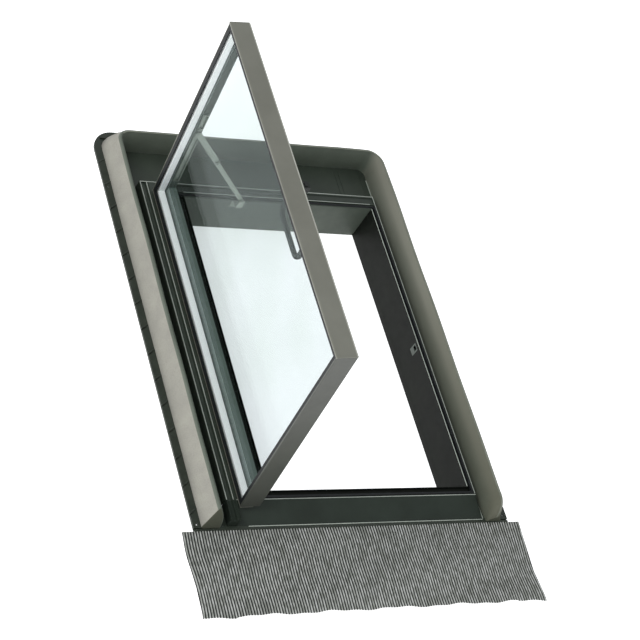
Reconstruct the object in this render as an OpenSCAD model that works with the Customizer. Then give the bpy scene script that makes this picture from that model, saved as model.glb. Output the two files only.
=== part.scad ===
// Side-hung roof exit skylight with its frame, flashing, foam collar and pleated apron.
// X runs across the roof, +Y up the slope and +Z out of the roof. The origin lies on the
// underside of the flashing, at the centre of the four fixing holes.

/* [Sash] */
// Width of the sash over its cladding
sash_w = 518; // [480:1:620]
// Height of the sash over its cladding
sash_h = 760; // [620:1:920]
// Depth of the sash from its outside face to the room side
sash_d = 42.5; // [41:0.5:54]
// Angle at which the sash stands open
open_angle = 95; // [80:1:95]
// Width of the stiles
rail_w = 26; // [24:0.5:28]
// Width of the head and sill rails
end_rail_w = 14; // [13.5:0.5:16]
// Width of the cladding lip on the glass
lip_w = 13; // [11:0.5:13]
// Thickness of the cladding sheet
clad_t = 1.6; // [1:0.1:2]

/* [Glass] */
// Thickness of each pane
pane_t = 4; // [3:0.5:4.5]
// Gap between the panes
pane_gap = 14; // [10:1:14]
// Width of the spacer bar
spacer_w = 7; // [6:0.5:7]

/* [Frame] */
// Height of the frame rim above the flashing underside
rim_z = 25; // [22:1:30]
// Depth of the frame below the flashing underside
lining_depth = 73; // [60:1:120]
// Thickness of the jamb and head boards
board_t = 15; // [15:0.5:20]
// Thickness of the sill board
sill_t = 19; // [18:1:22]
// Width of the shelf that carries the hinges
hinge_shelf_w = 81; // [76:1:95]
// Width of the shelf outside the head board
head_shelf_w = 20; // [15:1:30]
// Thickness of the shelves
shelf_t = 20; // [14:1:21]
// Overlap of the sash on the lock jamb
lap_lock = 18; // [18:0.5:19]
// Overlap of the sash at the head
lap_head = 10.5; // [9:0.5:12]
// Overlap of the sash at the sill
lap_sill = 39; // [37:0.5:40]
// Overlap of the sash on the hinge jamb
lap_hinge = 39; // [36:1:44]

/* [Flashing] */
// Thickness of the flashing sheet
sheet_t = 1; // [0.8:0.1:1.5]
// Gap between the frame and the foot of the collar, at the sides
side_gutter = 16; // [12:1:30]
// Gap between the head shelf and the foot of the collar
head_gutter = 87.5; // [60:0.5:120]
// Height of the collar crest above the flashing underside
collar_h = 58; // [45:1:70]
// Width of the collar over its foot
collar_w = 39; // [34:1:50]
// Outward lean of the collar sheet from its foot to its crest
collar_lean = 17; // [10:1:22]
// Radius of the collar foot at the hinge-side corner
corner_hinge = 6; // [4:1:40]
// Radius of the collar foot at the lock-side corner
corner_lock = 15; // [4:1:40]
// Radius of the flashing's upper corners
tray_r = 50; // [10:1:60]
// Width of the folded edge strip at the sides
edge_w = 17.5; // [17:0.5:26]
// Width of the folded edge strip at the head
edge_head_w = 17.5; // [17:0.5:40]
// Run of the sloping sill flashing
sill_run = 44; // [24:1:60]

/* [Apron] */
// Length of the pleated apron down the slope
apron_l = 180; // [120:1:260]
// Overhang of the apron past the edge strip, each side
apron_side = 29; // [10:1:40]
// Pitch of the pleats
pleat = 6; // [5:0.5:12]
// Depth of the pleats
pleat_d = 2.4; // [1.5:0.1:4]

/* [Stay] */
// Distance of the frame pivot from the hinge axis
stay_frame_x = 162; // [150:1:170]
// Distance of the sash pivot from the hinge axis
stay_sash_x = 206; // [195:1:215]
// Width of the upper link
upper_w = 13; // [10:0.5:13]
// Width of the lower link
lower_w = 10; // [8:0.5:12]

/* [Handle] */
// Length of the bow handle
bow_l = 124; // [100:1:150]
// Reach of the bow handle from its pivot
bow_reach = 88; // [70:1:110]
// Thickness of the bow bar
bow_t = 9; // [7:0.5:9.5]

/* [Fixings] */
// Radius of the fixing holes
fix_r = 2.5; // [2:0.1:3]
// Distance between the fixing holes up the slope
fix_pitch = 800; // [600:10:820]

/* [Hidden] */
$fn = 48;
e = 0.01;                           // overrun of a cut past the face it opens
gap = 0.3;                          // clearance between pieces that move past each other
run = 0.05;                         // radial clearance of a pin in its bore

// Opening through the frame; the sash is centred up the slope
open_w = sash_w - lap_hinge - lap_lock;
half_w = (hinge_shelf_w + 2 * board_t + open_w) / 2;
in_r = half_w - board_t;
in_l = in_r - open_w;
in_b = -sash_h / 2 + lap_sill;
in_t = sash_h / 2 - lap_head;
out_b = in_b - sill_t;
out_t = in_t + board_t + head_shelf_w;

// Shut sash
seal_h = 4;
seal_w = 4;
sash_l = in_l - lap_hinge;
sash_r = sash_l + sash_w;
sash_t = sash_h / 2;
seal_x = sash_l + rail_w - 1;        // inner side of the rim seal, at the hinges
room_z = rim_z + seal_h + gap;
face_z = room_z + sash_d;
bed = 1;                            // bedding between a pane and what holds it
glass_top = face_z - clad_t - bed;
glass_bot = glass_top - 2 * pane_t - pane_gap;
ledge_z = glass_bot - bed;
glass_in = 5;                       // glass edge behind the outside face of the cladding

// Hinge axis
knuckle_r = 5.5;
pin_r = 2.5;
hinge_x = sash_l + 2.5;
hinge_z = rim_z + 8.8;
hinge_l = 50;
hinge_y = sash_h / 2 - 48;          // each hinge from the middle of the sash
leaf_t = 1.8;

// Flashing and collar
foot_x = half_w + side_gutter;
foot_y = out_t + head_gutter;
strip_in = collar_w + 0.5;           // inner side of the edge strip, from the collar foot
edge_x = foot_x + strip_in + edge_w;
edge_y = foot_y + strip_in + edge_head_w;
base_b = out_b - sill_run;          // foot of the sill slope
tail_w = 22;                        // width of the hinge shelf's tail beside the sill slope
lip_l = 20;                         // flat lip of the sill flashing below its slope
collar_b = base_b - 4;              // lower end of the collar
strip_h = 4;
fix_x = edge_x - 9;                 // fixing holes, each side of the middle

// Stay: a folding pair of links in two planes across the slope
link_t = 2;
stay_z = room_z + 10;               // height of both pivots when the sash is shut
channel_t = 4;
shoe_t = 1;
reveal_t = sash_t - end_rail_w;     // inner face of the head rail
upper_y = reveal_t - channel_t - shoe_t - gap - link_t;
lower_y = upper_y - 0.7 - link_t;
ear_y = lower_y - 1 - link_t;
frame_pivot = [hinge_x + stay_frame_x, stay_z];
sash_pivot_shut = [hinge_x + stay_sash_x, stay_z];
sash_pivot = turned(sash_pivot_shut, open_angle);
span = norm(sash_pivot - frame_pivot);
lower_l = (span + stay_sash_x - stay_frame_x) / 2;
upper_l = span - lower_l;
link_dir = atan2(sash_pivot[1] - frame_pivot[1], sash_pivot[0] - frame_pivot[0]);

// Handle on the lock stile, in shut-sash places
bow_z = room_z - 7;                 // middle of the bow bar
stile_in = sash_r - rail_w;          // inner face of the lock stile
pivot_x = stile_in - 8;
bow_top = 26;                       // upper end of the bow
bow_bot = bow_top - bow_l;
arm_w = 10;
bolt_y = [3, 11];
bolt_z = [8, 14];
bolt_tip = in_r - 1.5;
bolt_l = 22;

// A point in the XZ plane turned with the sash about the hinge axis
function turned(p, a) = let (u = p[0] - hinge_x, v = p[1] - hinge_z)
    [hinge_x + u * cos(a) - v * sin(a), hinge_z + u * sin(a) + v * cos(a)];

module box(lo, hi) translate(lo) cube(hi - lo);

module rod_y(x, z, r, y0, y1) translate([x, y0, z]) rotate([-90, 0, 0]) cylinder(h = y1 - y0, r = r);

// Carries a piece of the shut sash to its open place
module open_sash() translate([hinge_x, 0, hinge_z]) rotate([0, -open_angle, 0])
    translate([-hinge_x, 0, -hinge_z]) children();

// Prism along Y of an outline given as [x, z] points
module along_y(pts, y0, y1) translate([0, y1, 0]) rotate([90, 0, 0]) linear_extrude(y1 - y0) polygon(pts);

// Prism along X of an outline given as [y, z] points
module along_x(pts, x0, x1) translate([x0, 0, 0]) rotate([90, 0, 90]) linear_extrude(x1 - x0) polygon(pts);

// ---- Frame ----

// A lining board: its outline in plan, cut at 45 degrees to meet its neighbours
module board(pts) color("#33382f") translate([0, 0, -lining_depth])
    linear_extrude(lining_depth + rim_z) polygon(pts);

module jamb_hinge_side() board([[in_l, in_b], [in_l, in_t], [in_l - board_t, in_t + board_t],
    [in_l - board_t, in_b - sill_t]]);

module jamb_lock_side() difference() {
    board([[in_r, in_b], [in_r + board_t, in_b - sill_t], [in_r + board_t, in_t + board_t], [in_r, in_t]]);
    keep_pocket();
}

module head_board() board([[in_l, in_t], [in_r, in_t], [in_r + board_t, in_t + board_t],
    [in_l - board_t, in_t + board_t]]);

module sill_board() board([[in_l, in_b], [in_l - board_t, in_b - sill_t], [in_r + board_t, in_b - sill_t],
    [in_r, in_b]]);

module hinge_shelf() color("#2f352e")
    union() {
        box([-half_w, out_b, rim_z - shelf_t], [in_l - board_t, out_t, rim_z]);
        box([-half_w, base_b, 0], [-half_w + tail_w, out_b, rim_z]);
    }

module head_shelf() color("#2f352e")
    box([in_l - board_t, in_t + board_t, rim_z - shelf_t], [half_w, out_t, rim_z]);

module rim_seal() {
    l = seal_x;
    r = sash_r - 8;
    t = in_t + 6;
    b = -sash_t + rail_w - seal_w;
    color("#15171a") difference() {
        box([l - seal_w, b, rim_z], [r, t, rim_z + seal_h]);
        box([l, b + seal_w, rim_z - e], [r - seal_w, t - seal_w, rim_z + seal_h + e]);
    }
}

// Pocket in the lock jamb, behind the keep plate
module keep_pocket() box([in_r - e, bolt_y[0] - 5, bolt_z[0] - 14], [in_r + 10, bolt_y[1] + 5, bolt_z[1] + 4]);

module keep_plate() color("#9aa098") difference() {
    box([in_r, bolt_y[0] - 5, bolt_z[0] - 14], [in_r + 1.5, bolt_y[1] + 5, bolt_z[1] + 4]);
    box([in_r - e, bolt_y[0] - 1.5, bolt_z[0] - 1.5], [in_r + 2, bolt_y[1] + 1.5, bolt_z[1] + 1.5]);
}

// ---- Flashing ----

// The four fixing holes, open through the flashing and the edge strips
module fixing_holes() for (x = [-fix_x, fix_x], y = [-fix_pitch / 2, fix_pitch / 2])
    translate([x, y, -1]) cylinder(h = strip_h + sheet_t + 2, r = fix_r);

// Everything inside the rounded upper corners of the tray
module tray_plan() linear_extrude(sheet_t + strip_h + 1) union() {
    translate([-edge_x, base_b - lip_l - 1]) square([2 * edge_x, edge_y - tray_r - base_b + lip_l + 1]);
    translate([-edge_x + tray_r, edge_y - tray_r - 1]) square([2 * (edge_x - tray_r), tray_r + 1]);
    for (x = [-edge_x + tray_r, edge_x - tray_r]) translate([x, edge_y - tray_r]) circle(r = tray_r);
}

// Side flashing: a flat gutter with a leg against the frame
module flashing_side() difference() {
    union() {
        intersection() {
            box([half_w, base_b - lip_l, 0], [edge_x, edge_y, sheet_t]);
            tray_plan();
        }
        box([half_w, out_b, sheet_t], [half_w + sheet_t, out_t, rim_z - 1]);
    }
    fixing_holes();
}

module flashing_left() color("#3a4038") mirror([1, 0, 0]) flashing_side();

module flashing_right() color("#3a4038") flashing_side();

module flashing_head() color("#3a4038") union() {
    box([-half_w, out_t, 0], [half_w, edge_y, sheet_t]);
    box([-half_w, out_t, sheet_t], [half_w, out_t + sheet_t, rim_z - 1]);
}

// Sill flashing: hooked on the shelf, sloping down to a flat lip under the apron
module flashing_sill() color("#363c36") along_x([[out_b, rim_z - 1], [out_b, rim_z - 3], [base_b + sheet_t, 0],
    [base_b - lip_l, 0], [base_b - lip_l, sheet_t], [base_b, sheet_t], [out_b - 1, rim_z - 1]],
    -half_w + tail_w, half_w);

// Edge strip: the folded rim of the flashing, slit on the slant so that it can be dressed to the tiles
module side_strip() difference() {
    box([foot_x + strip_in, collar_b, sheet_t], [edge_x, foot_y, sheet_t + strip_h]);
    for (y = [base_b + 30:60:foot_y - 40]) if (abs(abs(y) - fix_pitch / 2) > 14)
        translate([edge_x - 10.5, y, sheet_t - e]) rotate([0, 0, -32]) cube([edge_w * 2, 1.6, strip_h + 1]);
    fixing_holes();
}

module edge_strip_left() color("#41473f") mirror([1, 0, 0]) side_strip();

module edge_strip_right() color("#41473f") side_strip();

module edge_strip_head() color("#41473f") difference() {
    intersection() {
        box([-edge_x, foot_y, sheet_t], [edge_x, edge_y, sheet_t + strip_h]);
        tray_plan();
    }
    box([-foot_x - strip_in, foot_y - e, sheet_t - e], [foot_x + strip_in, foot_y + strip_in, sheet_t + strip_h + e]);
}

// Inner side of the collar: distance out from the foot, at a height from 0 at the foot to 1 at the crest
function lean(t) = collar_lean * pow(t, 2.2);
function inner_side(off, n) = [for (i = [0:n]) [lean(i / n) + off, sheet_t + (collar_h - sheet_t) * i / n]];
collar_t = 1.5;
sheet_outline = concat(inner_side(0, 6), [for (i = [6:-1:0]) inner_side(collar_t, 6)[i]]);
foam_outline = concat(inner_side(collar_t, 6), [[collar_lean + collar_t + 1.5, collar_h - 1.2],
    [collar_w, sheet_t + 2.5], [collar_w, sheet_t]]);

// An outline carried up one side of the collar
module collar_side(pts, radius) along_y([for (p = pts) [foot_x + p[0], p[1]]], collar_b, foot_y - radius);

// An outline carried round the corner of the collar
module collar_corner(pts, radius) translate([foot_x - radius, foot_y - radius, 0])
    rotate_extrude(angle = 90) polygon([for (p = pts) [radius + p[0], p[1]]]);

// An outline carried across the head of the collar
module collar_head(pts) along_x([for (p = pts) [foot_y + p[0], p[1]]], -foot_x + corner_hinge, foot_x - corner_lock);

module collar_sheet() color("#5a5f52") union() {
    collar_head(sheet_outline);
    collar_side(sheet_outline, corner_lock);
    collar_corner(sheet_outline, corner_lock);
    mirror([1, 0, 0]) {
        collar_side(sheet_outline, corner_hinge);
        collar_corner(sheet_outline, corner_hinge);
    }
}

module foam_head() color("#9a988f") collar_head(foam_outline);

module foam_right() color("#9a988f") union() {
    collar_side(foam_outline, corner_lock);
    collar_corner(foam_outline, corner_lock);
}

module foam_left() color("#9a988f") mirror([1, 0, 0]) union() {
    collar_side(foam_outline, corner_hinge);
    collar_corner(foam_outline, corner_hinge);
}

// ---- Apron ----

apron_top = base_b - 10;
apron_half = edge_x + apron_side;
pleats = floor(2 * apron_half / pleat);
apron_t = 0.8;

// One side of the pleated sheet, a zigzag across the roof
function zigzag(z) = [for (i = [0:2 * pleats]) [-apron_half + i * apron_half / pleats,
    z + (i % 2) * (pleat_d - apron_t)]];

module apron() color("#6d706a") translate([0, 0, sheet_t])
    along_y(concat(zigzag(0), [for (i = [2 * pleats:-1:0]) zigzag(apron_t)[i]]), apron_top - apron_l, apron_top);

// Folded seam that joins the apron to the flashing
module apron_seam() color("#4b5049")
    box([-edge_x, apron_top, sheet_t], [edge_x, apron_top + 3.5, sheet_t + pleat_d + 0.6]);

// ---- Hinges ----

// Leaf on the shelf with the two outer knuckles
module hinge_leaf_frame(y) color("#8d938b") difference() {
    union() {
        box([hinge_x - 34, y - hinge_l / 2, rim_z], [hinge_x - 4, y + hinge_l / 2, rim_z + leaf_t]);
        for (s = [-1, 1]) {
            y0 = y + s * hinge_l / 3 - hinge_l / 6;
            rod_y(hinge_x, hinge_z, knuckle_r, y0 + gap / 2, y0 + hinge_l / 3 - gap / 2);
            box([hinge_x - knuckle_r - 3, y0 + gap / 2, rim_z], [hinge_x - 2, y0 + hinge_l / 3 - gap / 2, hinge_z]);
        }
    }
    rod_y(hinge_x, hinge_z, pin_r, y - hinge_l, y + hinge_l);
}

module hinge_leaf_frame_upper() hinge_leaf_frame(hinge_y);

module hinge_leaf_frame_lower() hinge_leaf_frame(-hinge_y);

module hinge_pin(y) color("#b4b8b0") union() {
    rod_y(hinge_x, hinge_z, pin_r, y - hinge_l / 2 - 1, y + hinge_l / 2 + 1);
    for (s = [-1, 1]) rod_y(hinge_x, hinge_z, pin_r + 1.4, y + s * (hinge_l / 2 + 1) - 0.9, y + s * (hinge_l / 2 + 1) + 0.9);
}

module hinge_pin_upper() hinge_pin(hinge_y);

module hinge_pin_lower() hinge_pin(-hinge_y);

// Leaf under the hinge stile with the middle knuckle
module hinge_leaf_sash(y) color("#8d938b") open_sash() difference() {
    union() {
        box([hinge_x + knuckle_r + gap, y - hinge_l / 2, room_z - leaf_t],
            [seal_x - seal_w - 2, y + hinge_l / 2, room_z]);
        rod_y(hinge_x, hinge_z, knuckle_r, y - hinge_l / 6 + gap / 2, y + hinge_l / 6 - gap / 2);
        box([hinge_x, y - hinge_l / 6 + gap / 2, room_z - leaf_t],
            [hinge_x + knuckle_r + 1, y + hinge_l / 6 - gap / 2, room_z]);
    }
    rod_y(hinge_x, hinge_z, pin_r + run, y - hinge_l, y + hinge_l);
}

module hinge_leaf_sash_upper() hinge_leaf_sash(hinge_y);

module hinge_leaf_sash_lower() hinge_leaf_sash(-hinge_y);

module hinge_screws_frame() color("#b4b8b0") for (y = [-hinge_y, hinge_y], s = [-1, 0, 1])
    translate([hinge_x - 24 + 10 * (s == 0 ? 1 : 0), y + s * hinge_l / 3, rim_z + leaf_t]) cylinder(h = 1, r1 = 3, r2 = 2.2);

module hinge_screws_sash() color("#b4b8b0") open_sash() for (y = [-hinge_y, hinge_y], s = [-1, 1])
    translate([hinge_x + 11, y + s * hinge_l / 3, room_z - leaf_t - 1]) cylinder(h = 1, r1 = 2.2, r2 = 3);

// ---- Stay ----

// Flat link with round ends and a bore at its first end, from p in direction a in the XZ plane
module link(p, a, len, w, y, bore_r) translate([p[0], y, p[1]]) rotate([0, -a, 0]) difference() {
    union() {
        rod_y(0, 0, w / 2, 0, link_t);
        rod_y(len, 0, w / 2, 0, link_t);
        box([0, 0, -w / 2], [len, link_t, w / 2]);
    }
    rod_y(0, 0, bore_r, -1, link_t + 1);
    rod_y(len, 0, bore_r, -1, link_t + 1);
}

module stay_bracket() color("#9aa098") difference() {
    union() {
        box([frame_pivot[0] - 12, in_t - 2, rim_z - 20], [frame_pivot[0] + 12, in_t, rim_z - 1]);
        box([frame_pivot[0] - 8, ear_y, rim_z - 5], [frame_pivot[0] + 8, in_t - 2, rim_z - 3]);
        box([frame_pivot[0] - 7, ear_y, rim_z - 3], [frame_pivot[0] + 7, ear_y + link_t, frame_pivot[1]]);
        rod_y(frame_pivot[0], frame_pivot[1], 7, ear_y, ear_y + link_t);
    }
    rod_y(frame_pivot[0], frame_pivot[1], pin_r, ear_y - 1, ear_y + link_t + 1);
}

module stay_bracket_screws() color("#b4b8b0") for (s = [-1, 1])
    rod_y(frame_pivot[0] + s * 7, rim_z - 13, 2.6, in_t - 3, in_t - 2);

module stay_pin() color("#b4b8b0") union() {
    rod_y(frame_pivot[0], frame_pivot[1], pin_r, ear_y, lower_y + link_t + gap);
    rod_y(frame_pivot[0], frame_pivot[1], 4, ear_y - 1.5, ear_y);
}

module stay_lower_link() color("#a4aca1") link(frame_pivot, link_dir, lower_l, lower_w, lower_y, pin_r + run);

module stay_upper_link() color("#a4aca1")
    link(sash_pivot, link_dir + 180, upper_l, upper_w, upper_y, pin_r + run);

// Rivet of the elbow: it stops short of the lower link, where the linkage is opened
module stay_elbow_rivet() color("#b4b8b0") translate([sash_pivot[0], 0, sash_pivot[1]]) rotate([0, -link_dir - 180, 0]) union() {
    rod_y(upper_l, 0, pin_r + run, upper_y - 0.3, upper_y + link_t);
    rod_y(upper_l, 0, 4, upper_y + link_t, upper_y + link_t + 1.2);
}

module stay_channel() color("#98a095") open_sash() difference() {
    box([hinge_x + 50, reveal_t - channel_t, stay_z - 6.5], [hinge_x + 262, reveal_t, stay_z + 6.5]);
    box([hinge_x + 52, reveal_t - channel_t - e, stay_z - 4.5], [hinge_x + 260, reveal_t - 1.5, stay_z + 4.5]);
}

// Shoe in the channel with the pivot of the upper link
module stay_shoe() color("#b4b8b0") open_sash() union() {
    box([sash_pivot_shut[0] - 15, reveal_t - channel_t - shoe_t, stay_z - 4.2],
        [sash_pivot_shut[0] + 15, reveal_t - 1.5, stay_z + 4.2]);
    rod_y(sash_pivot_shut[0], stay_z, 4.1, upper_y + link_t, reveal_t - channel_t - shoe_t);
    rod_y(sash_pivot_shut[0], stay_z, pin_r, upper_y, upper_y + link_t);
    rod_y(sash_pivot_shut[0], stay_z, 4, upper_y - 0.4, upper_y);
}

// ---- Sash ----

// Section of a stile or rail: a ledge under the glass and a thin wall beside it,
// as [distance in from the cladding face, height]
wall_t = 2;
function core_outline(w) = [[clad_t, room_z], [w, room_z], [w, ledge_z], [clad_t + wall_t, ledge_z],
    [clad_t + wall_t, face_z - clad_t], [clad_t, face_z - clad_t]];

module sash_stile_hinge() color("#4d554d") open_sash() difference() {
    along_y([for (p = core_outline(rail_w)) [sash_l + p[0], p[1]]], -sash_t + clad_t, sash_t - clad_t);
    for (y = [-hinge_y, hinge_y])
        box([sash_l, y - hinge_l / 2 - 2.5, room_z - 1], [hinge_x + knuckle_r + 0.5, y + hinge_l / 2 + 2.5, ledge_z - 2]);
}

module sash_stile_lock() color("#4d554d") open_sash() along_y([for (p = core_outline(rail_w)) [sash_r - p[0], p[1]]],
    -sash_t + clad_t, sash_t - clad_t);

module sash_rail(side) color("#4d554d") open_sash() intersection() {
    along_x([for (p = core_outline(end_rail_w)) [side * (sash_t - p[0]), p[1]]], sash_l + clad_t + wall_t, sash_r - clad_t - wall_t);
    union() {
        box([sash_l + rail_w, -sash_t, room_z], [sash_r - rail_w, sash_t, ledge_z]);
        box([sash_l, -sash_t, ledge_z], [sash_r, sash_t, face_z]);
    }
}

module sash_rail_head() sash_rail(1);

module sash_rail_sill() sash_rail(-1);

// Cladding section: a skirt down the outside of the sash and a lip on the glass
function clad_outline(foot) = [[0, foot], [clad_t, foot], [clad_t, face_z - clad_t],
    [lip_w, face_z - clad_t], [lip_w, face_z], [0, face_z]];

module cladding_lock() color("#6f7169") open_sash() along_y([for (p = clad_outline(room_z + 1)) [sash_r - p[0], p[1]]],
    -sash_t, sash_t);

// The skirt beside the hinges is short, clear of the knuckles
module cladding_hinge() color("#6f7169") open_sash()
    along_y([for (p = clad_outline(ledge_z - 2)) [sash_l + p[0], p[1]]], -sash_t, sash_t);

module cladding_end(side) color("#74766d") open_sash() intersection() {
    along_x([for (p = clad_outline(room_z + 1)) [side * (sash_t - p[0]), p[1]]], sash_l + clad_t, sash_r - clad_t);
    union() {
        box([sash_l, -sash_t, room_z], [sash_r, sash_t, face_z - clad_t]);
        box([sash_l + lip_w, -sash_t, face_z - clad_t - 1], [sash_r - lip_w, sash_t, face_z + 1]);
    }
}

module cladding_head() cladding_end(1);

module cladding_sill() cladding_end(-1);

// A rectangular ring in the sash: distances of its outer and inner edge from the cladding face
module ring(outer, inner, z0, z1) difference() {
    box([sash_l + outer, -sash_t + outer, z0], [sash_r - outer, sash_t - outer, z1]);
    box([sash_l + inner, -sash_t + inner, z0 - 1], [sash_r - inner, sash_t - inner, z1 + 1]);
}

module glazing_seal() color("#15171a") open_sash() union() {
    ring(glass_in, lip_w, glass_top, face_z - clad_t);
    difference() {
        box([sash_l + glass_in, -sash_t + glass_in, ledge_z], [sash_r - glass_in, sash_t - glass_in, glass_bot]);
        box([sash_l + rail_w, -sash_t + end_rail_w, ledge_z - 1], [sash_r - rail_w, sash_t - end_rail_w, glass_bot + 1]);
    }
}

module pane(z0) color([0.8, 0.88, 0.86, 0.35]) open_sash()
    box([sash_l + glass_in, -sash_t + glass_in, z0], [sash_r - glass_in, sash_t - glass_in, z0 + pane_t]);

module outer_pane() pane(glass_top - pane_t);

module inner_pane() pane(glass_bot);

module glass_spacer() color("#d7dfd9") open_sash()
    ring(glass_in + 2, glass_in + 2 + spacer_w, glass_bot + pane_t, glass_top - pane_t);

// ---- Handle and latch ----

// Block on the lock stile: a lug between the arms of the bow, and a guide for the bolt
module handle_base() color("#2b302c") open_sash() difference() {
    union() {
        box([pivot_x - 5, bow_bot + arm_w + gap, bow_z - 5], [stile_in, bow_top - arm_w - gap, bow_z + 5]);
        box([stile_in - 3, bow_bot + arm_w + gap, bow_z], [stile_in, bow_top - arm_w - gap, room_z + 12]);
        box([in_r - 16, bolt_y[0] - 4, bolt_z[0] - 4], [in_r - 2.5, bolt_y[1] + 4, bow_z - 4]);
    }
    rod_y(pivot_x, bow_z, pin_r, bow_bot, bow_top);
    box([in_r - 20, bolt_y[0] - gap, bolt_z[0] - gap], [in_r + 4, bolt_y[1] + gap, bolt_z[1] + gap]);
}

module handle_screws() color("#b4b8b0") open_sash() for (y = [bow_bot + arm_w + 14, bow_top - arm_w - 30])
    translate([stile_in - 3.8, y, room_z + 6]) rotate([0, 90, 0]) cylinder(h = 0.8, r1 = 2, r2 = 2.6);

// Bow: a flat bar bent to a D, on two arms
module handle_bow() color("#2b302c") open_sash() difference() {
    union() {
        translate([0, 0, bow_z - bow_t / 2]) linear_extrude(bow_t) difference() {
            bow_plan(0);
            bow_plan(arm_w);
        }
        for (y = [bow_bot, bow_top - arm_w]) rod_y(pivot_x, bow_z, bow_t / 2, y, y + arm_w);
    }
    rod_y(pivot_x, bow_z, pin_r + run, bow_bot - 1, bow_top + 1);
}

bow_corner = 22;
// Plan of the bow, set in by a distance
module bow_plan(inset) {
    r = bow_corner - inset;
    x0 = pivot_x - bow_reach + inset;
    y0 = bow_bot + inset;
    y1 = bow_top - inset;
    union() {
        translate([x0 + r, y0]) square([pivot_x - x0 - r + (inset > 0 ? 20 : 0), y1 - y0]);
        translate([x0, y0 + r]) square([r, y1 - y0 - 2 * r]);
        for (y = [y0 + r, y1 - r]) translate([x0 + r, y]) circle(r = r);
    }
}

module handle_pin() color("#b4b8b0") open_sash() union() {
    rod_y(pivot_x, bow_z, pin_r, bow_bot - 0.5, bow_top + 0.5);
    for (y = [bow_bot - 1.5, bow_top + 0.5]) rod_y(pivot_x, bow_z, 3.5, y, y + 1);
}

module latch_bolt() color("#b4b8b0") open_sash()
    box([bolt_tip - bolt_l, bolt_y[0], bolt_z[0]], [bolt_tip, bolt_y[1], bolt_z[1]]);

jamb_hinge_side();
jamb_lock_side();
head_board();
sill_board();
hinge_shelf();
head_shelf();
rim_seal();
flashing_left();
flashing_right();
flashing_head();
flashing_sill();
edge_strip_left();
edge_strip_right();
edge_strip_head();
collar_sheet();
foam_left();
foam_head();
foam_right();
apron();
apron_seam();
hinge_leaf_frame_upper();
hinge_leaf_frame_lower();
hinge_pin_upper();
hinge_pin_lower();
hinge_leaf_sash_upper();
hinge_leaf_sash_lower();
hinge_screws_frame();
hinge_screws_sash();
stay_bracket();
stay_bracket_screws();
stay_pin();
stay_lower_link();
stay_upper_link();
stay_elbow_rivet();
stay_channel();
stay_shoe();
keep_plate();
sash_stile_hinge();
sash_stile_lock();
sash_rail_head();
sash_rail_sill();
cladding_hinge();
cladding_lock();
cladding_head();
cladding_sill();
glazing_seal();
outer_pane();
glass_spacer();
inner_pane();
handle_base();
handle_screws();
handle_bow();
handle_pin();
latch_bolt();
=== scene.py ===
import math
import bmesh
import bpy
import numpy as np
from mathutils import Matrix, Vector


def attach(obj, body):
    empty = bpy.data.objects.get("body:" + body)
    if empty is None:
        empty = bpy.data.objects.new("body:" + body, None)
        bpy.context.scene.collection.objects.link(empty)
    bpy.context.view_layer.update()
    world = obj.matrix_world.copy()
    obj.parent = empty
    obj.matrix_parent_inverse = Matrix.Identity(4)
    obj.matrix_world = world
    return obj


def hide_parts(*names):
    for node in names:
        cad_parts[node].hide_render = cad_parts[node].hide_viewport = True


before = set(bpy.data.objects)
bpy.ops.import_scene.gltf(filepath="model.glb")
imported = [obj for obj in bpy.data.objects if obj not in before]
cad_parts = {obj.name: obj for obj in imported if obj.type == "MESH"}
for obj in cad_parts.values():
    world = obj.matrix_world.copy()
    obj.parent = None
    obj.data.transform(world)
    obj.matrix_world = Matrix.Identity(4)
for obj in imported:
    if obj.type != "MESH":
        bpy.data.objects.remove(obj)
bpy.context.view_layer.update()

# ---- Camera ----
# A long lens looks down on the open window from below its sill, on the hinged side.
sight = Vector((0.49861, 0.49450, -0.71194)).normalized()
across = Vector((0.86649, -0.26136, 0.42532)).normalized()
up = across.cross(sight).normalized()
lens = bpy.data.cameras.new("view")
lens.lens, lens.sensor_width = 107.84, 36.0
lens.shift_x, lens.shift_y = 0.00195, 0.01678
lens.clip_end = 50.0
eye = bpy.data.objects.new("view", lens)
bpy.context.collection.objects.link(eye)
eye.matrix_world = Matrix.Translation((-1.9533, -1.9368, 2.8647)) @ Matrix(
    (across, up, -sight)).transposed().to_4x4()
bpy.context.scene.camera = eye
bpy.context.scene.view_settings.view_transform = "Standard"
bpy.context.scene.view_settings.look = "None"


# ---- Studio ----
# A pale sweep of matt card under the window, a bright even sky of diffusers, one large soft lamp
# from the upper left that gives the foam and the cladding their lit sides, and a weak one in front.
def paint(code):
    """sRGB hex to linear: c/12.92 under 0.04045, else ((c + 0.055)/1.055)^2.4."""
    c = np.array([int(code[i:i + 2], 16) / 255 for i in (1, 3, 5)])
    c = np.where(c <= 0.04045, c / 12.92, ((c + 0.055) / 1.055) ** 2.4)
    return (float(c[0]), float(c[1]), float(c[2]), 1.0)


def add_node(tree, kind, links=None, **settings):
    """Adds a node; a setting goes to the socket of that name, or else to the node itself."""
    made = tree.nodes.new(kind)
    for name, value in settings.items():
        socket = made.inputs.get(name.replace("_", " "))
        if hasattr(made, name) and name not in ("Color", "Scale"):
            setattr(made, name, value)
        elif socket is not None:
            socket.default_value = value
    for name, source in (links or {}).items():
        tree.links.new(source, made.inputs[name])
    return made


def new_material(name):
    """An empty material: its node tree and its output node."""
    mat = bpy.data.materials.new(name)
    mat.use_nodes = True
    mat.node_tree.nodes.clear()
    return mat, mat.node_tree, mat.node_tree.nodes.new("ShaderNodeOutputMaterial")


def noise(tree, where, grain_mm, detail):
    """Noise of a grain size in millimetres, on the piece's own coordinates."""
    return add_node(tree, "ShaderNodeTexNoise", {"Vector": where.outputs["Object"]},
                    Scale=1000.0 / grain_mm, Detail=detail)


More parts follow.
